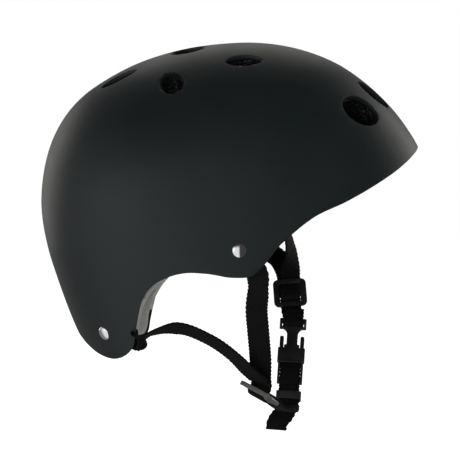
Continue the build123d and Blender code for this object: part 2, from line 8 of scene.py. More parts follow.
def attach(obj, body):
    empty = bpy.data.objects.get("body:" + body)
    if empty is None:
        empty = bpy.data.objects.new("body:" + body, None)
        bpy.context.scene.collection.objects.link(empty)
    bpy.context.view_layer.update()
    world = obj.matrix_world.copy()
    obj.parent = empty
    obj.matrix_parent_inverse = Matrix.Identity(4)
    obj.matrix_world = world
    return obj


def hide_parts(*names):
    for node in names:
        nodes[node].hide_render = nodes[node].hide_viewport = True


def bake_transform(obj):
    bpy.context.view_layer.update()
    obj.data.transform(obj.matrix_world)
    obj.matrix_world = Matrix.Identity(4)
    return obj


# Skateboard helmet: finishes, padded pieces, webbing and the small moulded parts
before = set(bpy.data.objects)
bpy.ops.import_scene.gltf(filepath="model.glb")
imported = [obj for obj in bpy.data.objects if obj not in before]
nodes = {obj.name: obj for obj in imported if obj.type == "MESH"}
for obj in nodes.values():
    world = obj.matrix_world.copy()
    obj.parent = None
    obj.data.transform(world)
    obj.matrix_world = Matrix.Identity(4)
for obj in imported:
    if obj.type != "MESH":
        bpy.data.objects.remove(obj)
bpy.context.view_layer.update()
mm = 0.001
print("frame loaded:", len(nodes), "nodes")


# Shader maths
class Wire:
    def __init__(self, paint, socket):
        self.paint = paint
        self.socket = socket

    def maths(self, operation, *values):
        return self.paint.node("ShaderNodeMath", {"operation": operation}, dict(enumerate(values)))

    def __add__(self, other):
        return self.maths("ADD", self, other)

    def __rsub__(self, other):
        return self.maths("SUBTRACT", other, self)

    def __mul__(self, other):
        return self.maths("MULTIPLY", self, other)

    def __truediv__(self, other):
        return self.maths("DIVIDE", self, other)

    def __pow__(self, other):
        return self.maths("POWER", self, other)


class Paint:
    def __init__(self, name, owner=None):
        self.material = owner or bpy.data.materials.new(name)
        self.material.use_nodes = True
        self.tree = self.material.node_tree
        self.tree.nodes.clear()
        self.place = self.node("ShaderNodeTexCoord", output="Generated" if owner else "Object")

    def node(self, kind, settings=None, sockets=None, output=0):
        made = self.tree.nodes.new(kind)
        for name, value in (settings or {}).items():
            setattr(made, name, value)
        for name, value in (sockets or {}).items():
            if isinstance(value, Wire):
                self.tree.links.new(value.socket, made.inputs[name])
            else:
                made.inputs[name].default_value = value
        return Wire(self, made.outputs[output] if len(made.outputs) else None)

    def noise(self, size, detail=3.0):
        sockets = {"Vector": self.place, "Scale": 1 / size, "Detail": detail}
        return self.node("ShaderNodeTexNoise", {}, sockets, output="Fac")

    def cells(self, size):
        sockets = {"Vector": self.place, "Scale": 1 / size}
        return self.node("ShaderNodeTexVoronoi", {}, sockets, output="Distance")

    def part(self, vector, index):
        return self.node("ShaderNodeSeparateXYZ", {}, {"Vector": vector}, output=index)

    def span(self, value, low, high, to=(0.0, 1.0)):
        sockets = {"Value": value, "From Min": low, "From Max": high, "To Min": to[0], "To Max": to[1]}
        return self.node("ShaderNodeMapRange", {}, sockets)

    def between(self, amount, first, second):
        sockets = {0: amount, 6: (*first, 1.0), 7: (*second, 1.0)}
        return self.node("ShaderNodeMix", {"data_type": "RGBA"}, sockets, output=2)

    def bump(self, height, depth, under=None):
        sockets = {"Height": height, "Distance": depth, "Strength": 1.0}
        if under:
            sockets["Normal"] = under
        return self.node("ShaderNodeBump", {}, sockets)

    def backdrop(self, strength):
        return self.node("ShaderNodeBackground", {}, {"Color": (1, 1, 1, 1), "Strength": strength})

    def finish(self, sockets):
        shader = self.node("ShaderNodeBsdfPrincipled", {}, sockets)
        self.node("ShaderNodeOutputMaterial", {}, {"Surface": shader})
        return self.material


# Finishes
def shellFinish():
    look = {
        "base": (0.0125, 0.018, 0.0195), "dusty": (0.0155, 0.0205, 0.0215), "rough": (0.42, 0.5),
        "cloud": 0.05, "grain": 0.0007, "peel": 0.006, "grainDepth": 0.00003, "peelDepth": 0.00008,
    }
    paint = Paint("shellBlack")
    cloud = paint.noise(look["cloud"], 4.0)
    grain = paint.noise(look["grain"], 2.0)
    peel = paint.noise(look["peel"], 2.0)
    return paint.finish({
        "Base Color": paint.between(paint.span(cloud, 0.4, 0.75), look["base"], look["dusty"]),
        "Roughness": paint.span(cloud, 0.3, 0.7, look["rough"]),
        "Normal": paint.bump(grain, look["grainDepth"], paint.bump(peel, look["peelDepth"])),
        "Specular IOR Level": 0.35,
    })


def linerFinish():
    look = {
        "base": (0.007, 0.007, 0.0075), "seamShade": (0.002, 0.002, 0.002), "rough": (0.6, 0.25),
        "bead": 0.0032, "beadDepth": 0.0007, "cloud": 0.004, "pore": 0.0006, "poreDepth": 0.00006,
    }
    paint = Paint("foamBlack")
    bead = paint.cells(look["bead"])
    seamShade = paint.span(bead, 0.35, 0.75)
    pores = paint.bump(paint.noise(look["pore"]), look["poreDepth"])
    return paint.finish({
        # The seam colour is painted shade in the grooves between the foam beads, where the bump dips
        "Base Color": paint.between(seamShade, look["base"], look["seamShade"]),
        "Roughness": paint.span(paint.noise(look["cloud"]), 0.4, 0.65, look["rough"]),
        "Normal": paint.bump(1 - seamShade, look["beadDepth"], pores),
    })


def padFinish():
    look = {
        "light": (0.62, 0.62, 0.6), "dark": (0.4, 0.4, 0.39), "rib": 0.0011, "ribDepth": 0.00018,
        "fuzz": 0.0009, "fuzzDepth": 0.00025, "cloud": 0.02,
    }
    paint = Paint("padGrey")
    fuzz = paint.noise(look["fuzz"], 4.0)
    cloud = paint.noise(look["cloud"], 3.0)
    rib = paint.node("ShaderNodeTexWave", {"bands_direction": "Z"}, {
        "Vector": paint.place, "Scale": 1 / look["rib"] / math.tau, "Distortion": 0.6, "Detail": 1.0,
        "Detail Scale": 300.0,
    }, output="Fac")
    tone = paint.span(fuzz * 0.6 + cloud * 0.4, 0.35, 0.65)
    return paint.finish({
        "Base Color": paint.between(tone, look["dark"], look["light"]),
        "Roughness": 0.9,
        "Sheen Weight": 0.3,
        "Sheen Roughness": 0.5,
        "Normal": paint.bump(rib, look["ribDepth"], paint.bump(fuzz, look["fuzzDepth"])),
    })


def metalFinish(name, colour, rough):
    look = {"scratch": 0.0004, "cloud": 0.003, "darker": 0.92}
    paint = Paint(name)
    scratch = paint.noise(look["scratch"], 3.0)
    darker = tuple(look["darker"] * c for c in colour)
    return paint.finish({
        "Base Color": paint.between(paint.noise(look["cloud"]), colour, darker),
        "Metallic": 1.0,
        "Roughness": paint.span(scratch, 0.3, 0.7, rough),
    })


def mouldedFinish(name, colour, rough):
    look = {"spark": 0.0005, "sparkDepth": 0.00003, "cloud": 0.008, "paler": 1.6}
    paint = Paint(name)
    spark = paint.noise(look["spark"], 2.0)
    cloud = paint.noise(look["cloud"], 3.0)
    paler = tuple(look["paler"] * c for c in colour)
    return paint.finish({
        "Base Color": paint.between(paint.span(cloud, 0.35, 0.75), colour, paler),
        "Roughness": paint.span(cloud, 0.3, 0.7, rough),
        "Normal": paint.bump(spark, look["sparkDepth"]),
    })


def webbingFinish():
    look = {
        "thread": (0.0105, 0.011, 0.0105), "gap": (0.0015, 0.0015, 0.0015), "columns": 9, "valley": 0.45,
        "weaveDepth": 0.0005, "fibre": 0.0003, "fibreDepth": 0.00008,
    }
    paint = Paint("webbingBlack")
    flat = paint.node("ShaderNodeUVMap", {"uv_map": "webbing"})
    column = paint.part(flat, 1) * look["columns"]
    number = column.maths("FLOOR", column)
    shift = number.maths("MODULO", number, 2.0) * 0.5
    turn = (paint.part(flat, 0) / webbing["pitch"] + shift) * math.pi
    over = turn.maths("ABSOLUTE", turn.maths("SINE", turn))
    side = column.maths("ABSOLUTE", column.maths("SINE", column * math.pi))
    height = (side ** 0.5) * (over * (1 - look["valley"]) + look["valley"])
    thread = paint.noise(look["fibre"], 2.0)
    return paint.finish({
        # The gap colour is painted shade: the weave's valleys and the grooves between thread columns turn
        # darker where the bump dips
        "Base Color": paint.between(height * 0.8 + thread * 0.3, look["gap"], look["thread"]),
        "Roughness": 0.7,
        "Specular IOR Level": 0.14,
        "Normal": paint.bump(height, look["weaveDepth"], paint.bump(thread, look["fibreDepth"])),
    })


# Shell and liner, drawn level in millimetres from the same shares as their solids, then tipped back
shell = {
    "front": 162.0, "rear": 118.0, "half": 107.5, "height": 136.5, "skirt": 66.0, "base": -103.0,
    "tip": 17.0, "power": 2.2, "wall": 3.0, "gap": 0.5, "length": 280.0, "sides": 128, "edge": 0.7,
    "rimStep": 2.5, "vent": 30.0, "ventSides": 64, "ventDeep": 20.0, "lip": 2.4, "lipAngle": 38.0,
    "lipRows": (0.35, 0.6, 0.8, 0.93),
}
tipped = Matrix.Rotation(math.radians(-shell["tip"]), 3, "Y")
domeShares = [
    (-1.3, 1.0, 0.893, 0.895), (-1.0, 1.0, 0.932, 0.93), (-0.5, 1.0, 0.981, 0.972), (0.0, 1.0, 1.0, 0.995),
    (0.22, 0.973, 1.0, 1.0), (0.44, 0.898, 0.958, 0.963), (0.66, 0.7685, 0.843, 0.848),
    (0.82, 0.599, 0.686, 0.675), (0.923, 0.407, 0.487, 0.476), (0.982, 0.185, 0.22, 0.253),
    (0.999, 0.03, 0.03, 0.03),
]
rimShares = [
    (0.6, 0.42), (0.579, 0.31), (0.566, 0.25), (0.545, 0.195), (0.506, 0.118), (0.425, 0.011),
    (0.346, -0.062), (0.261, -0.115),
    (0.195, -0.22), (0.15, -0.315), (0.112, -0.429), (0.071, -0.509), (0.029, -0.473), (-0.031, -0.352),
    (-0.086, -0.276), (-0.129, -0.271), (-0.168, -0.308), (-0.2, -0.4), (-0.225, -0.56), (-0.246, -0.727),
    (-0.264, -0.871), (-0.288, -0.935), (-0.319, -0.948), (-0.356, -0.873), (-0.382, -0.758),
    (-0.407, -0.59), (-0.443, -0.333),
]
ventShares = [
    (11.0, 24.0, 1.0, 0.68), (25.6, 21.1, 1.03, 0.82), (53.0, 74.8, 0.82, 0.78), (46.6, 53.0, 0.82, 0.44),
    (85.6, 56.5, 0.53, 0.8), (126.0, 67.5, 0.93, 0.4),
]
linerInset = {
    "outside": 3.3, "front": 30.3, "rear": 23.3, "side": 22.3, "top": 25.3, "setback": 6.5, "edge": 1.5,
    "vent": 0.9, "ventDeep": 47.0,
}
cutter = {"spare": 20.0, "top": 60.0, "proud": 3.0, "through": 2.0}


def halfway(rows):
    filled = []
    for index in range(len(rows) - 1):
        around = [rows[min(max(index + k, 0), len(rows) - 1)] for k in (-1, 0, 1, 2)]
        filled.append(rows[index])
        filled.append(tuple((9 * (b + c) - (a + d)) / 16 for a, b, c, d in zip(*around)))
    return filled + [rows[-1]]


def domeMesh(name, front, rear, side, top, longer=0.0):
    rows = halfway(halfway(halfway(domeShares)))
    shape = bmesh.new()
    rings = []
    for height, f, r, s in rows:
        z = shell["base"] + height * (shell["skirt"] if height < 0 else shell["height"] - top)
        z -= longer if height <= domeShares[0][0] else 0.0
        loop = []
        for k in range(shell["sides"]):
            angle = math.tau * k / shell["sides"]
            c, d = math.cos(angle), math.sin(angle)
            reach = f * (shell["front"] - front) if c > 0 else r * (shell["rear"] - rear)
            x = math.copysign(abs(c) ** (2 / shell["power"]), c) * reach
            y = math.copysign(abs(d) ** (2 / shell["power"]), d) * s * (shell["half"] - side)
            loop.append(shape.verts.new(Vector((x, y, z)) * mm))
        rings.append(loop)
    for low, high in zip(rings, rings[1:]):
        for k in range(shell["sides"]):
            after = (k + 1) % shell["sides"]
            shape.faces.new((low[k], low[after], high[after], high[k]))
    shape.faces.new(rings[0][::-1])
    shape.faces.new(rings[-1])
    return fromShape(name, shape)


def fromShape(name, shape):
    bmesh.ops.recalc_face_normals(shape, faces=shape.faces)
    mesh = bpy.data.meshes.new(name)
    shape.to_mesh(mesh)
    shape.free()
    piece = bpy.data.objects.new(name, mesh)
    bpy.context.collection.objects.link(piece)
    return piece


def rimCutter(lift):
    spare, top = cutter["spare"], cutter["top"]
    reach = shell["half"] + spare
    rim = [Vector((x * shell["length"], 0, shell["base"] + z * shell["skirt"] + lift)) for x, z in rimShares]
    rows = [(point, Vector((0, 1, 0))) for point in rim]
    edge = [row[0] for row in smoothRows(rows, shell["rimStep"])]
    outline = edge + [Vector((edge[-1].x - spare, 0, edge[-1].z)), Vector((edge[-1].x - spare, 0, top)),
                      Vector((edge[0].x + spare, 0, top)), Vector((edge[0].x + spare, 0, edge[0].z))]
    shape = bmesh.new()
    walls = [[shape.verts.new((p + Vector((0, y, 0))) * mm) for p in outline] for y in (-reach, reach)]
    for k in range(len(outline)):
        after = (k + 1) % len(outline)
        shape.faces.new((walls[0][k], walls[0][after], walls[1][after], walls[1][k]))
    shape.faces.new(walls[0][::-1])
    shape.faces.new(walls[1])
    return fromShape("rimCutter", shape)


def ventPlanes(outer):
    centre = Vector((0, 0, shell["base"])) * mm
    planes = []
    for bearing, rise, length, width in ventShares:
        a, b = math.radians(bearing), math.radians(rise)
        for side in (-1, 1):
            direction = Vector((math.cos(b) * math.cos(a), side * math.cos(b) * math.sin(a), math.sin(b)))
            _, point, normal, _ = outer.ray_cast(centre, direction)
            ahead = (Vector((1, 0, 0)) - normal * normal.x).normalized()
            turn = Matrix((ahead, normal.cross(ahead), normal)).transposed()
            planes.append((point / mm, turn, length * shell["vent"] / 2, width * shell["vent"] / 2))
    return planes


def ventCutter(planes, profile, share=1.0):
    # Each row of the profile holds a depth under the surface and how much wider the oval is there
    sides = shell["ventSides"]
    shape = bmesh.new()
    for point, turn, length, width in planes:
        rings = []
        for depth, wider in profile:
            long, wide = length * share + wider, width * share + wider
            loop = []
            for k in range(sides):
                a = math.tau * k / sides
                place = Vector((long * math.cos(a), wide * math.sin(a), -depth))
                loop.append(shape.verts.new((point + turn @ place) * mm))
            rings.append(loop)
        for low, high in zip(rings, rings[1:]):
            for k in range(sides):
                after = (k + 1) % sides
                shape.faces.new((low[k], low[after], high[after], high[k]))
        shape.faces.new(rings[0][::-1])
        shape.faces.new(rings[-1])
    return fromShape("ventCutter", shape)


def cut(piece, other, operation):
    select(piece)
    modifier = piece.modifiers.new("cut", "BOOLEAN")
    modifier.object = other
    modifier.operation = operation
    modifier.solver = "EXACT"
    bpy.ops.object.modifier_apply(modifier=modifier.name)
    bpy.data.objects.remove(other)


def tipBack(piece):
    piece.data.transform(tipped.to_4x4())


def roundEdges(piece, width, segments, angle):
    bevel = piece.modifiers.new("edges", "BEVEL")
    bevel.width = width
    bevel.segments = segments
    bevel.limit_method = "ANGLE"
    bevel.angle_limit = math.radians(angle)
    bevel.use_clamp_overlap = True
    applyAll(piece)
    bpy.ops.object.shade_smooth_by_angle(angle=math.radians(50))


def makeShell(finish):
    outer = domeMesh("shell_skin", 0, 0, 0, 0)
    planes = ventPlanes(outer)
    wall, proud, lip = shell["wall"], cutter["proud"], shell["lip"]
    cut(outer, domeMesh("inside", wall, wall, wall, wall, cutter["through"]), "DIFFERENCE")
    cut(outer, rimCutter(0.0), "INTERSECT")
    # Round countersink that widens towards the surface
    spread = lip * math.tan(math.radians(shell["lipAngle"]))
    rows = [(shell["ventDeep"], 0.0), (lip, 0.0)]
    rows += [(lip * (1 - t), spread * (1 - math.sqrt(1 - t * t))) for t in shell["lipRows"]]
    rows += [(0.0, spread), (-proud, spread + proud)]
    cut(outer, ventCutter(planes, rows), "DIFFERENCE")
    roundEdges(outer, shell["edge"] * mm, 3, 40)
    finishPiece(outer, finish, "helmet", "shell", "outer_shell")
    tipBack(outer)
    return planes


def makeLiner(planes, finish):
    i = linerInset
    out, through = i["outside"], cutter["through"]
    foam = domeMesh("liner_foam", out, out, out, out)
    cut(foam, domeMesh("inside", i["front"], i["rear"], i["side"], i["top"], through), "DIFFERENCE")
    cut(foam, rimCutter(i["setback"]), "INTERSECT")
    cut(foam, ventCutter(planes, [(i["ventDeep"], 0.0), (-cutter["proud"], 0.0)], i["vent"]), "DIFFERENCE")
    roundEdges(foam, i["edge"] * mm, 3, 50)
    finishPiece(foam, finish, "helmet", "liner", "foam_liner")
    tipBack(foam)


def finishPiece(piece, finish, body, slot, *replaced):
    piece.data.materials.clear()
    piece.data.materials.append(finish)
    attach(piece, body)
    if replaced:
        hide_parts(*replaced)


# Webbing
webbing = {
    "width": 15.0, "thick": 1.4, "proud": 0.3, "step": 0.48, "across": 10, "scallop": 0.6, "pitch": 2.9,
    "thinner": 0.35, "reach": 100.0,
}


def spanDirection(before, here, after):
    first, second = here - before, after - here
    if first.length < 1e-6 or second.length < 1e-6:
        return (first + second).normalized()
    return (first.normalized() / first.length + second.normalized() / second.length).normalized()


def routePoint(before, start, end, after, share):
    span = (end[0] - start[0]).length
    leave = spanDirection(before[0], start[0], end[0]) * span
    arrive = spanDirection(start[0], end[0], after[0]) * span
    square, cube = share ** 2, share ** 3
    point = start[0] * (2 * cube - 3 * square + 1) + leave * (cube - 2 * square + share)
    point += end[0] * (3 * square - 2 * cube) + arrive * (cube - square)
    return point, start[1].lerp(end[1], share)


def smoothRows(rows, step):
    filled = []
    for index in range(len(rows) - 1):
        around = [rows[min(max(index + k, 0), len(rows) - 1)] for k in (-1, 0, 1, 2)]
        count = max(2, round((around[2][0] - around[1][0]).length / step))
        filled += [routePoint(*around, n / count) for n in range(count)]
    return filled + [rows[-1]]


def webbingLoop(shape, rows, index, travelled, profile):
    point, across = rows[index]
    before = rows[max(index - 1, 0)][0]
    after = rows[min(index + 1, len(rows) - 1)][0]
    along = (after - before).normalized()
    side = (across - along * across.dot(along)).normalized()
    out = along.cross(side)
    wave = webbing["scallop"] * abs(math.sin(math.pi * travelled / webbing["pitch"]))
    half = webbing["width"] / 2 + webbing["proud"] - webbing["scallop"] + wave
    loop = []
    for share, face in profile:
        edge = abs(2 * share - 1)
        thick = webbing["thick"] / 2 * (1 - webbing["thinner"] * edge ** 8)
        place = point + side * (2 * share - 1) * half + out * (face * thick)
        loop.append(shape.verts.new(place * mm))
    return loop


def makeWebbing(name, rows, finish):
    rows = smoothRows(rows, webbing["step"])
    lengths = [0.0]
    for before, after in zip(rows, rows[1:]):
        lengths.append(lengths[-1] + (after[0] - before[0]).length)
    count = webbing["across"]
    profile = [(k / count, 1) for k in range(count + 1)] + [(k / count, -1) for k in range(count, -1, -1)]
    shape = bmesh.new()
    flat = shape.loops.layers.uv.new("webbing")
    loops = [webbingLoop(shape, rows, index, lengths[index], profile) for index in range(len(rows))]
    for index in range(len(loops) - 1):
        for k in range(len(profile)):
            after = (k + 1) % len(profile)
            places = ((index, k), (index, after), (index + 1, after), (index + 1, k))
            face = shape.faces.new([loops[row][column] for row, column in places])
            face.smooth = True
            for loop, (row, column) in zip(face.loops, places):
                loop[flat].uv = (lengths[row], profile[column][0])
    for loop in (loops[0], loops[-1]):
        shape.faces.new(loop)
    strap = fromShape(name, shape)
    strap.data.materials.append(finish)
    print(name, "runs", round(lengths[-1]), "mm")
    return strap


# Routes of the straps, in millimetres, along their solids: inside the shell's wall, then free
def wallRows(surface, anchor, shares, side):
    hits = []
    for a, b in shares:
        ahead, high = anchor[0] + a * webbing["width"], shell["base"] + anchor[1] + b * webbing["width"]
        _, point, normal, _ = surface.ray_cast(Vector((ahead, 0, high)) * mm, (0, side, 0))
        hits.append((tipped @ point / mm, tipped @ normal))
    rows = []
    for index, (point, normal) in enumerate(hits):
        along = hits[min(index + 1, len(hits) - 1)][0] - hits[max(index - 1, 0)][0]
        rows.append((point, along.cross(normal * side).normalized()))
    return rows


def freeRows(start, shares):
    reach = webbing["reach"]
    return [(start + Vector(place) * reach, Vector(across).normalized()) for place, across in shares]


class Plane:
    def __init__(self, origin, across, travel):
        self.origin = Vector(origin)
        self.across = Vector(across).normalized()
        self.out = self.across.cross(Vector(travel)).normalized()
        self.travel = self.out.cross(self.across)

    def rows(self, places):
        return [(self.origin + self.travel * y + self.out * z, self.across) for y, z in places]


slide = {
    "length": 25.0, "thick": 2.4, "height": 21.7, "slot": 4.6, "slotLength": 15.5, "offset": 5.0,
    "edge": 0.7, "gap": 0.3, "corner": 4.0, "level": 6.0, "rows": (6.5, 7.5, 8.5, 9.5, 10.5, 11.5),
    "rail": 1.35, "block": 1.9, "blockFrom": 9.0, "soften": 0.5,
}
rightSlide = Plane((65.0, -62.0, -208.4), (0.8, -0.45, -0.4), (0.38, 0.86, -0.32))
leftSlide = Plane((85.5, 60.0, -143.7), (0.995, 0.0, 0.08), (0.1, -0.42, -0.9))
lean = math.radians(27.9)
tilt = math.radians(3.4)
buckleRight = (math.cos(tilt), -math.sin(tilt) * math.sin(lean), -math.sin(tilt) * math.cos(lean))
buckle = Plane((85.0, 27.0, -209.1), buckleRight, (0, math.sin(lean), math.cos(lean)))
pitch = webbing["thick"] + slide["gap"]
level = slide["thick"] / 2 + slide["gap"] + webbing["thick"] / 2
bend = slide["edge"] + slide["gap"] + webbing["thick"] / 2
bendCentre = slide["thick"] / 2 - slide["edge"]
barEdge = slide["offset"] - slide["slot"] / 2 - slide["edge"]
halfBend = math.sqrt(0.5)


def slideEntry(plane, layer):
    slot = -slide["offset"] + (0.5 - layer) * pitch
    under = -level - layer * pitch
    turn = (-barEdge + (slot + barEdge) * halfBend, -bendCentre + (under + bendCentre) * halfBend)
    over = 2 * level - layer * pitch
    return plane.rows([(slot, over), (slot, 0), turn, (-barEdge, under), (barEdge, under)])


def slideExit(plane):
    farEdge = 2 * slide["offset"] - barEdge
    rise = bendCentre + bend * halfBend
    places = [(barEdge + bend * halfBend, -rise), (slide["offset"], 0), (farEdge - bend * halfBend, rise)]
    return plane.rows(places + [(farEdge, level), (slide["height"] / 2 + webbing["thick"], level)])


ladder = {
    "height": 12.0, "depth": 3.0, "thick": 2.4, "foot": 0.8, "keeperDrop": 10.5, "keeperHeight": 6.0,
    "keeperDown": 3.4, "keeperUp": 5.5,
}
plug = {"thick": 3.2, "height": 52.1, "bar": 8.0, "edge": 1.4, "slot": 2.8, "loose": 0.2}


def chinLoop():
    reach = ladder["thick"] / 2 + slide["gap"] + webbing["thick"] / 2
    top = ladder["height"] + ladder["depth"] + slide["gap"] + webbing["thick"] / 2
    turn = top - reach
    # The two layers lie flat together for as far as the keeper slides
    low = -ladder["keeperDrop"] - ladder["keeperHeight"] / 2 - ladder["keeperDown"]
    high = -ladder["keeperDrop"] + ladder["keeperHeight"] / 2 + ladder["keeperUp"]
    front = [(y, pitch / 2) for y in (low - 1, low, high - 1, high)]
    front += [(ladder["foot"], reach), (turn, reach), (turn + reach * halfBend, reach * halfBend)]
    back = [(y, -z) for y, z in reversed(front)]
    return buckle.rows(front + [(top, 0)] + back[:-1])


def plugLoop():
    reach = plug["thick"] / 2 + slide["gap"] + webbing["thick"] / 2
    slotTop = plug["height"] - plug["bar"] + plug["edge"] + plug["slot"]
    low = slotTop - plug["slot"] + plug["loose"] + webbing["thick"] / 2
    turn = slotTop - slide["gap"] - webbing["thick"] / 2 + reach
    down = [(plug["height"] + slide["gap"], -reach), (turn, -reach)]
    down += [(turn - reach * halfBend, -reach * halfBend)]
    up = [(y, -z) for y, z in reversed(down)]
    return buckle.rows(down + [(low, 0)] + up + [(plug["height"] + webbing["width"] / 2, reach)])


frontRivet = (17.2, -14.4)
rearRivet = (-91.3, -43.0)
rightFront = [
    ((-0.015, -0.35, 0.76), (0.85, -0.5, 0.15)),
    ((-0.027, -0.3, 0.6), (1, 0.15, 0)),
    ((-0.018, -0.25, 0.47), (1, 0, 0)),
    ((-0.002, -0.14, 0.24), (1, -0.05, 0)),
    ((0.0, -0.075, 0.12), (0.95, -0.25, -0.15)),
]
rightRear = [
    ((-0.84, -0.228, 0.392), (0.2, -0.82, 0.55)),
    ((-0.78, -0.237, 0.422), (0.1, -0.96, 0.24)),
    ((-0.68, -0.24, 0.456), (0.1, -0.9, 0.38)),
    ((-0.59, -0.24, 0.469), (0.05, -0.82, 0.57)),
    ((-0.372, -0.21, 0.397), (0.25, -0.83, 0.47)),
    ((-0.2, -0.165, 0.278), (0.35, -0.83, 0.42)),
    ((-0.08, -0.147, 0.16), (0.7, -0.65, 0.1)),
    ((-0.02, -0.112, 0.1), (0.93, -0.32, -0.2)),
]
leftFront = [
    ((-0.103, 0.34, 0.262), (0.64, 0.25, 0.68)),
    ((-0.038, 0.2, 0.16), (0.96, 0.08, 0.1)),
]
leftRear = [
    ((-0.771, 0.28, 0.285), (-0.2, 0.35, 0.9)),
    ((-0.575, 0.19, 0.373), (-0.1, 0.85, 0.5)),
    ((-0.344, 0.14, 0.474), (0.05, 0.97, 0.2)),
    ((-0.153, 0.12, 0.505), (0.1, 1, 0)),
    ((-0.034, 0.12, 0.46), (0.3, 0.95, 0.1)),
    ((0.0, 0.12, 0.361), (0.42, 0.9, 0.1)),
    ((0.01, 0.12, 0.262), (0.65, 0.75, 0.05)),
    ((0.004, 0.105, 0.171), (0.95, 0.3, 0.0)),
]
chin = [
    ((-0.108, -0.67, -0.084), (0.88, -0.35, -0.25)),
    ((-0.037, -0.45, -0.154), (0.95, -0.25, -0.12)),
    ((-0.008, -0.25, -0.174), (0.99, -0.1, -0.05)),
    ((-0.004, -0.145, -0.155), (1, 0, 0)),
]
tail = [
    ((-0.04, -0.085, -0.22), (1, 0, 0)),
    ((-0.079, -0.1, -0.265), (1, 0, 0.05)),
    ((-0.093, -0.104, -0.295), (1, 0, 0)),
    ((-0.097, -0.105, -0.338), (1, 0, 0)),
]
frontWall = {-1: [(-0.2, 0.55), (0.0, 0.0), (0.25, -0.65), (0.45, -1.2)],
             1: [(-0.5, 0.36), (0.0, 0.0), (0.5, -0.36), (0.95, -0.68)]}
rearWall = {-1: [(-0.55, 0.2), (0.0, 0.0), (0.75, -0.36), (1.4, -0.72)],
            1: [(-0.5, -0.2), (0.0, 0.0), (1.1, 0.7), (2.1, 1.5), (2.7, 1.95)]}


def makeStraps(finish):
    line = shell["wall"] + shell["gap"] + webbing["thick"] / 2
    surface = domeMesh("strapLine", line, line, line, line)
    routes = {
        "right_front_strap": wallRows(surface, frontRivet, frontWall[-1], -1)
        + freeRows(rightSlide.origin, rightFront) + slideEntry(rightSlide, 0) + slideExit(rightSlide)
        + freeRows(buckle.origin, chin) + chinLoop() + freeRows(buckle.origin, tail),
        "right_rear_strap": wallRows(surface, rearRivet, rearWall[-1], -1)
        + freeRows(rightSlide.origin, rightRear) + slideEntry(rightSlide, 1),
        "left_front_strap": wallRows(surface, frontRivet, frontWall[1], 1)
        + freeRows(leftSlide.origin, leftFront) + slideEntry(leftSlide, 0) + slideExit(leftSlide)
        + plugLoop(),
        "left_rear_strap": wallRows(surface, rearRivet, rearWall[1], 1)
        + freeRows(leftSlide.origin, leftRear) + slideEntry(leftSlide, 1),
    }
    bpy.data.objects.remove(surface)
    for name, rows in routes.items():
        strap = makeWebbing(name.replace("_strap", "_webbing"), rows, finish)
        if name == "right_front_strap":
            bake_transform(strap)
        else:
            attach(strap, "helmet")
        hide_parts(name)


def select(piece):
    bpy.ops.object.select_all(action="DESELECT")
    piece.select_set(True)
    bpy.context.view_layer.objects.active = piece


def mergedCopy(name, node):
    piece = nodes[node].copy()
    piece.data = nodes[node].data.copy()
    piece.name = name
    piece.parent = None
    piece.matrix_world = Matrix.Identity(4)
    bpy.context.collection.objects.link(piece)
    select(piece)
    bpy.ops.object.mode_set(mode="EDIT")
    bpy.ops.mesh.select_all(action="SELECT")
    bpy.ops.mesh.remove_doubles(threshold=0.00001)
    bpy.ops.object.mode_set(mode="OBJECT")
    return piece


def applyAll(piece):
    select(piece)
    for modifier in list(piece.modifiers):
        bpy.ops.object.modifier_apply(modifier=modifier.name)


def refine(node, body, slot, finish, edge):
    piece = mergedCopy(node + "_piece", node)
    bevel = piece.modifiers.new("edges", "BEVEL")
    bevel.width = edge
    bevel.segments = 3
    bevel.limit_method = "ANGLE"
    bevel.angle_limit = math.radians(35)
    applyAll(piece)
    bpy.ops.object.shade_smooth_by_angle(angle=math.radians(35))
    finishPiece(piece, finish, body, slot, node)


def block(name, size, place=(0.0, 0.0, 0.0)):
    bpy.ops.object.select_all(action="DESELECT")
    bpy.ops.mesh.primitive_cube_add(size=1.0, location=Vector(place) * mm)
    piece = bpy.context.object
    piece.name = name
    piece.scale = Vector(size) * mm
    bpy.ops.object.transform_apply(location=True, scale=True)
    return piece


def makeSlide(node, plane, curl, longer, finish):
    s = slide
    piece = block(node + "_plate", (s["length"], s["height"], s["thick"]))
    bpy.ops.object.mode_set(mode="EDIT")
    bpy.ops.mesh.select_mode(type="EDGE")
    bpy.ops.mesh.select_all(action="DESELECT")
    shape = bmesh.from_edit_mesh(piece.data)
    for edge in shape.edges:
        edge.select = abs(edge.verts[0].co.z - edge.verts[1].co.z) > s["thick"] * mm / 2
    bmesh.update_edit_mesh(piece.data)
    bpy.ops.mesh.bevel(offset=s["corner"] * mm, segments=6)
    bpy.ops.object.mode_set(mode="OBJECT")
    for side in (-1, 1):
        hole = block("slot", (s["slotLength"], s["slot"], 4 * s["thick"]), (0, side * s["offset"], 0))
        cut(piece, hole, "DIFFERENCE")
    bpy.ops.object.mode_set(mode="EDIT")
    for x in s["rows"]:
        bpy.ops.mesh.select_all(action="SELECT")
        bpy.ops.mesh.bisect(plane_co=(x * mm, 0, 0), plane_no=(1, 0, 0))
    bpy.ops.object.mode_set(mode="OBJECT")
    reach = s["length"] / 2 - s["level"]
    for vertex in piece.data.vertices:
        x, y = vertex.co.x / mm, vertex.co.y / mm
        if y < -s["offset"] - s["slot"] / 2 - s["gap"]:
            vertex.co.z *= s["block"] if curl and x > s["blockFrom"] else s["rail"]
        vertex.co.z -= curl * mm * (max(0.0, x - s["level"]) / reach) ** 1.5
        share = max(0.0, -x - s["level"]) / reach
        vertex.co += Vector((-share, 0, -share / 3)) * longer * mm
    turn = Matrix((plane.across, plane.travel, plane.out)).transposed().to_4x4()
    piece.data.transform(Matrix.Translation(plane.origin * mm) @ turn)
    roundEdges(piece, s["soften"] * mm, 3, 35)
    finishPiece(piece, finish, "helmet", "slides", node)


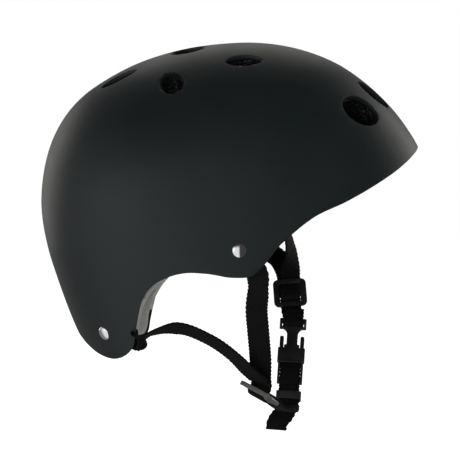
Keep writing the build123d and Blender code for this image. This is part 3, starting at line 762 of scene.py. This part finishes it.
# Fit pads: cloth blown up a little over foam
padding = {"voxel": 3.0, "swell": 1.0, "pressure": 4.0, "frames": 20, "fill": 0.7}
napeReach = {"from": -62.0, "length": 20.0, "forward": 11.0, "wider": 0.03, "higher": 2.0}


def swell(piece):
    select(piece)
    remesh = piece.modifiers.new("remesh", "REMESH")
    remesh.mode = "VOXEL"
    remesh.voxel_size = padding["voxel"] * mm
    applyAll(piece)
    rest = [vertex.co.copy() for vertex in piece.data.vertices]
    cloth = piece.modifiers.new("cloth", "CLOTH")
    cloth.settings.use_pressure = True
    cloth.settings.uniform_pressure_force = padding["pressure"]
    cloth.settings.effector_weights.gravity = 0.0
    scene = bpy.context.scene
    for number in range(1, padding["frames"] + 1):
        scene.frame_set(number)
    applyAll(piece)
    for vertex, start in zip(piece.data.vertices, rest):
        move = vertex.co - start
        if move.length > padding["swell"] * mm:
            vertex.co = start + move.normalized() * padding["swell"] * mm
    scene.frame_set(1)


def reachForward(piece):
    # The nape pad's two ends run on along the ear arch
    n = napeReach
    upright = tipped.inverted()
    for vertex in piece.data.vertices:
        place = upright @ vertex.co
        share = max(0.0, (place.x / mm - n["from"]) / n["length"])
        place += Vector((n["forward"] * mm, n["wider"] * place.y, n["higher"] * mm)) * share
        vertex.co = tipped @ place


def makePads(finish):
    for node in ("crown_pad", "brow_pad", "nape_pad", "left_side_pad", "right_side_pad"):
        piece = mergedCopy(node + "_cover", node)
        if node == "nape_pad":
            reachForward(piece)
        swell(piece)
        smooth = piece.modifiers.new("smooth", "SUBSURF")
        smooth.levels = 1
        smooth.render_levels = 1
        applyAll(piece)
        bpy.ops.object.shade_smooth()
        finishPiece(piece, finish, "helmet", "pads", node)


def dress(node, finish):
    piece = nodes[node]
    piece.data.materials.clear()
    piece.data.materials.append(finish)


rivet = {
    "head": 5.05, "rise": 2.3, "edge": 0.3, "flatTop": 2.2, "shank": 2.0, "stack": 6.5, "tail": 3.6,
    "tailThick": 0.9, "sides": 48, "arcRows": 10,
}


def rivetSeat(node):
    # The head's flat top and the tail's faces share one direction, and the top lies furthest out
    polygons = [p for p in nodes[node].data.polygons if p.normal.dot(p.center) > 0]
    widest = {}
    for polygon in polygons:
        key = tuple(round(c, 2) for c in polygon.normal)
        widest[key] = widest.get(key, 0.0) + polygon.area
    out = Vector(max(widest, key=widest.get)).normalized()
    height = max(p.center.dot(out) for p in polygons)
    top = [p for p in polygons if p.center.dot(out) > height - 0.1 * mm]
    centre = sum((p.center * p.area for p in top), Vector()) / sum(p.area for p in top)
    return centre / mm - out * rivet["flatTop"], out


def rivetProfile():
    r = rivet
    low = -r["stack"] - r["tailThick"]
    profile = []
    for k in range(r["arcRows"], -1, -1):
        a = math.radians(90 * k / r["arcRows"])
        profile.append((r["head"] * math.cos(a), r["edge"] + (r["rise"] - r["edge"]) * math.sin(a)))
    profile += [(r["head"], 0.0), (r["shank"], 0.0), (r["shank"], -r["stack"]), (r["tail"], -r["stack"])]
    return profile + [(r["tail"], low), (0.0, low)]


def makeRivet(node, finish):
    profile = rivetProfile()
    mesh = bpy.data.meshes.new(node + "_head")
    edges = [(k, k + 1) for k in range(len(profile) - 1)]
    mesh.from_pydata([(reach * mm, 0, rise * mm) for reach, rise in profile], edges, [])
    piece = bpy.data.objects.new(node + "_head", mesh)
    bpy.context.collection.objects.link(piece)
    select(piece)
    bpy.ops.object.mode_set(mode="EDIT")
    bpy.ops.mesh.select_all(action="SELECT")
    bpy.ops.mesh.spin(steps=rivet["sides"], angle=math.tau, center=(0, 0, 0), axis=(0, 0, 1))
    bpy.ops.mesh.select_all(action="SELECT")
    bpy.ops.mesh.remove_doubles(threshold=0.01 * mm)
    bpy.ops.mesh.normals_make_consistent(inside=False)
    bpy.ops.object.mode_set(mode="OBJECT")
    seat, out = rivetSeat(node)
    turn = out.to_track_quat("Z", "Y").to_matrix().to_4x4()
    piece.data.transform(Matrix.Translation(seat * mm) @ turn)
    bpy.ops.object.shade_smooth_by_angle(angle=math.radians(40))
    finishPiece(piece, finish, "helmet", "rivets", node)


# All the pieces
plastic = mouldedFinish("buckleBlack", (0.014, 0.014, 0.014), (0.28, 0.42))
# The near slide's grey is painted light: it is the same slide as the black far slide, made paler so that it
# looks lit
litSlidePlastic = mouldedFinish("slideGreyPaintedLit", (0.12, 0.12, 0.112), (0.25, 0.4))
keeperPlastic = mouldedFinish("keeperBlack", (0.03, 0.03, 0.03), (0.3, 0.45))
chrome = metalFinish("chrome", (0.86, 0.86, 0.87), (0.06, 0.16))
steel = metalFinish("steel", (0.55, 0.55, 0.56), (0.25, 0.4))
for corner in ("right_front", "right_rear", "left_front", "left_rear"):
    makeRivet(corner + "_rivet", chrome)
    dress(corner + "_washer", steel)
makeStraps(webbingFinish())
print("webbing made")
planes = makeShell(shellFinish())
makeLiner(planes, linerFinish())
print("shell and liner made")
makePads(padFinish())
print("pads made")
refine("buckle_socket", "socket", "buckle", plastic, 0.3 * mm)
refine("buckle_plug", "helmet", "buckle", plastic, 0.3 * mm)
refine("front_prong", "front_latch", "buckle", plastic, 0.2 * mm)
refine("rear_prong", "rear_latch", "buckle", plastic, 0.2 * mm)
makeSlide("right_slide", rightSlide, 1.2, 1.8, litSlidePlastic)
makeSlide("left_slide", leftSlide, 0.0, 0.0, plastic)
refine("strap_keeper", "keeper", "keeper", keeperPlastic, 0.2 * mm)
print("moulded parts made")


# Studio
studio = {
    "floor": -0.262, "floorGlow": 0.93, "backdrop": 0.22, "wall": 0.85, "dark": 0.05,
    "focal": 171.5, "sensor": 36.0, "eye": (0.0835, -1.5992, -0.0671), "look": (0.0416, 0.0, -0.095),
    "middle": (0.03, 0.0, -0.08),
}
white, warm = (1.0, 1.0, 1.0), (1.0, 0.97, 0.9)
# Name, place, size, power, colour and whether it shows in reflections
lamps = [
    ("key", (-1.2, -1.1, 0.0), 1.0, 1.4, white, True),
    ("fill", (0.9, -1.5, -0.2), 1.4, 8.0, white, False),
    ("rear", (-1.15, 1.05, 0.2), 1.0, 3.4, warm, True),
    ("edge", (1.4, -0.35, -0.2), 0.5, 1.2, warm, False),
    ("top", (0.0, 1.1, 1.0), 1.0, 2.5, warm, True),
    ("front", (1.3, 0.9, 0.3), 1.2, 6.5, warm, True),
]


def pointAt(piece, place, target):
    piece.location = place
    piece.rotation_euler = (Vector(target) - Vector(place)).to_track_quat("-Z", "Y").to_euler()


def makeCamera():
    lens = bpy.data.cameras.new("camera")
    lens.lens = studio["focal"]
    lens.sensor_width = studio["sensor"]
    camera = bpy.data.objects.new("camera", lens)
    bpy.context.collection.objects.link(camera)
    pointAt(camera, studio["eye"], studio["look"])
    bpy.context.scene.camera = camera


def makeLamp(name, place, size, power, colour, mirrored):
    light = bpy.data.lights.new(name, "AREA")
    light.size = size
    light.energy = power
    light.color = colour
    lamp = bpy.data.objects.new(name, light)
    lamp.visible_glossy = mirrored
    bpy.context.collection.objects.link(lamp)
    pointAt(lamp, place, studio["middle"])


def makeFloor():
    bpy.ops.object.select_all(action="DESELECT")
    bpy.ops.mesh.primitive_plane_add(size=8.0, location=(0, 3.6, studio["floor"]))
    floor = bpy.context.object
    floor.name = "floor"
    paint = Paint("floorWhite")
    diffuse = paint.node("ShaderNodeBsdfDiffuse", {}, {"Color": (0.85, 0.85, 0.85, 1)})
    glow = paint.node("ShaderNodeEmission", {}, {"Color": (1, 1, 1, 1), "Strength": studio["floorGlow"]})
    seen = paint.node("ShaderNodeLightPath", output="Is Camera Ray")
    both = paint.node("ShaderNodeAddShader", {}, {0: diffuse, 1: glow})
    mixed = paint.node("ShaderNodeMixShader", {}, {0: seen, 1: diffuse, 2: both})
    paint.node("ShaderNodeOutputMaterial", {}, {"Surface": mixed})
    floor.data.materials.append(paint.material)
    floor.visible_glossy = False


def makeWorld():
    world = bpy.data.worlds.new("studio")
    bpy.context.scene.world = world
    paint = Paint("studio", world)
    aside, ahead, up = (paint.part(paint.place, index) for index in range(3))
    # A white wall on the left, the dark studio on the right and overhead, and a pale backdrop behind
    wall = paint.span(aside, 0.2, 0.04) * paint.span(ahead, 0.2, -0.1)
    roof = paint.span(up, 0.15, 0.6) * paint.span(ahead, 0.6, 0.0)
    dark = paint.span(aside, 0.04, 0.2) * paint.span(ahead, 0.2, -0.1)
    glow = paint.backdrop(studio["backdrop"])
    glow = paint.node("ShaderNodeMixShader", {}, {0: wall, 1: glow, 2: paint.backdrop(studio["wall"])})
    shade = 1 - (1 - roof) * (1 - dark)
    glow = paint.node("ShaderNodeMixShader", {}, {0: shade, 1: glow, 2: paint.backdrop(studio["dark"])})
    seen = paint.node("ShaderNodeLightPath", output="Is Camera Ray")
    mixed = paint.node("ShaderNodeMixShader", {}, {0: seen, 1: glow, 2: paint.backdrop(1.0)})
    paint.node("ShaderNodeOutputWorld", {}, {"Surface": mixed})


makeCamera()
for lamp in lamps:
    makeLamp(*lamp)
makeFloor()
makeWorld()
bpy.context.scene.view_settings.view_transform = "Standard"
print("studio made")
